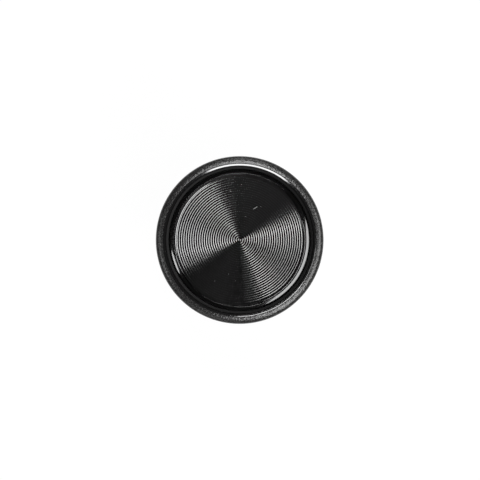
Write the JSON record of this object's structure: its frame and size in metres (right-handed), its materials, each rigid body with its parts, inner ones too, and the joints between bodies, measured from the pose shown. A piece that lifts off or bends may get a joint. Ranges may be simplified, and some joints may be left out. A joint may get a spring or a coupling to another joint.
{
  "type": "panel push button",
  "caption": "Round flush panel push button with a grooved black plate in a grained bezel ring, a threaded barrel with lock nut, and a contact block with screw terminals.",
  "frame": {"origin": "on the button's axis at the panel's front face, where the gasket's rear face lies", "axes": "+Z out of the panel's front along the push axis; +Y towards the key that stops the barrel turning; the contact poles lie along X"},
  "size_m": [0.0296, 0.0296, 0.0484],
  "materials": {
    "textured_black": "finely grained, matte",
    "gloss_black": "polished",
    "satin_black": "fine concentric grooves, satin",
    "rubber": "matt",
    "zinc": "zinc plated",
    "dark_grey": "moulded",
    "natural_white": "moulded",
    "spring_steel": "drawn wire",
    "case_black": "moulded",
    "case_grey": "moulded",
    "silver": "silver contact face",
    "brass": "stamped strip",
    "copper": "stamped strip"
  },
  "bodies": {
    "body": {"bezel_ring": "textured_black", "actuator_body": "gloss_black", "panel_gasket": "rubber", "contact_housing": "case_black", "rear_cover": "case_grey", "no_terminal_a": "brass", "no_terminal_b": "brass", "nc_terminal_a": "brass", "nc_terminal_b": "brass", "no_terminal_screw_a": "zinc", "no_terminal_screw_b": "zinc", "nc_terminal_screw_a": "zinc", "nc_terminal_screw_b": "zinc", "no_terminal_clamp_a": "zinc", "no_terminal_clamp_b": "zinc", "nc_terminal_clamp_a": "zinc", "nc_terminal_clamp_b": "zinc", "assembly_screw_a": "zinc", "assembly_screw_b": "zinc", "no_fixed_contact_a": "silver", "no_fixed_contact_b": "silver", "nc_fixed_contact_a": "silver", "nc_fixed_contact_b": "silver", "return_spring": "spring_steel", "carrier_spring": "spring_steel"},
    "button": {"button_plate": "satin_black", "button_cap": "gloss_black", "cap_seal_ring": "rubber", "plunger": "natural_white", "retaining_clip": "spring_steel", "contact_carrier": "natural_white"},
    "no_bridge": {"no_bridge": "copper", "no_bridge_contact_a": "silver", "no_bridge_contact_b": "silver", "no_contact_spring": "spring_steel"},
    "nc_bridge": {"nc_bridge": "copper", "nc_bridge_contact_a": "silver", "nc_bridge_contact_b": "silver", "nc_contact_spring": "spring_steel"},
    "thrust_washer": {"thrust_washer": "zinc"},
    "lock_nut": {"lock_nut": "dark_grey"}
  },
  "joints": [
    {"name": "button_press", "type": "slide", "parent": "body", "child": "button", "axis": [0, 0, -1], "range_m": [0, 0.004], "stiffness_N_per_m": 800, "springref_m": -0.006, "deforming": ["return_spring", "carrier_spring"]},
    {"name": "no_bridge_travel", "type": "slide", "parent": "button", "child": "no_bridge", "axis": [0, 0, 1], "range_m": [0, 0.0014], "deforming": ["no_contact_spring"]},
    {"name": "nc_bridge_travel", "type": "slide", "parent": "button", "child": "nc_bridge", "axis": [0, 0, 1], "range_m": [0, 0.0014], "deforming": ["nc_contact_spring"]},
    {"name": "nut_travel", "type": "slide", "parent": "body", "child": "thrust_washer", "axis": [0, 0, 1], "range_m": [-0.003, 0.002]},
    {"name": "nut_turn", "type": "hinge", "parent": "thrust_washer", "child": "lock_nut", "pos_m": [0, 0, -0.0066], "axis": [0, 0, 1], "range_deg": [-720, 480]}
  ],
  "couplings": [
    {"joint": "no_bridge_travel", "follows": "button_press", "ratio": 0.35},
    {"joint": "nc_bridge_travel", "follows": "button_press", "ratio": 0.35},
    {"joint": "nut_travel", "follows": "nut_turn", "m_per_rad": 0.00023873}
  ]
}
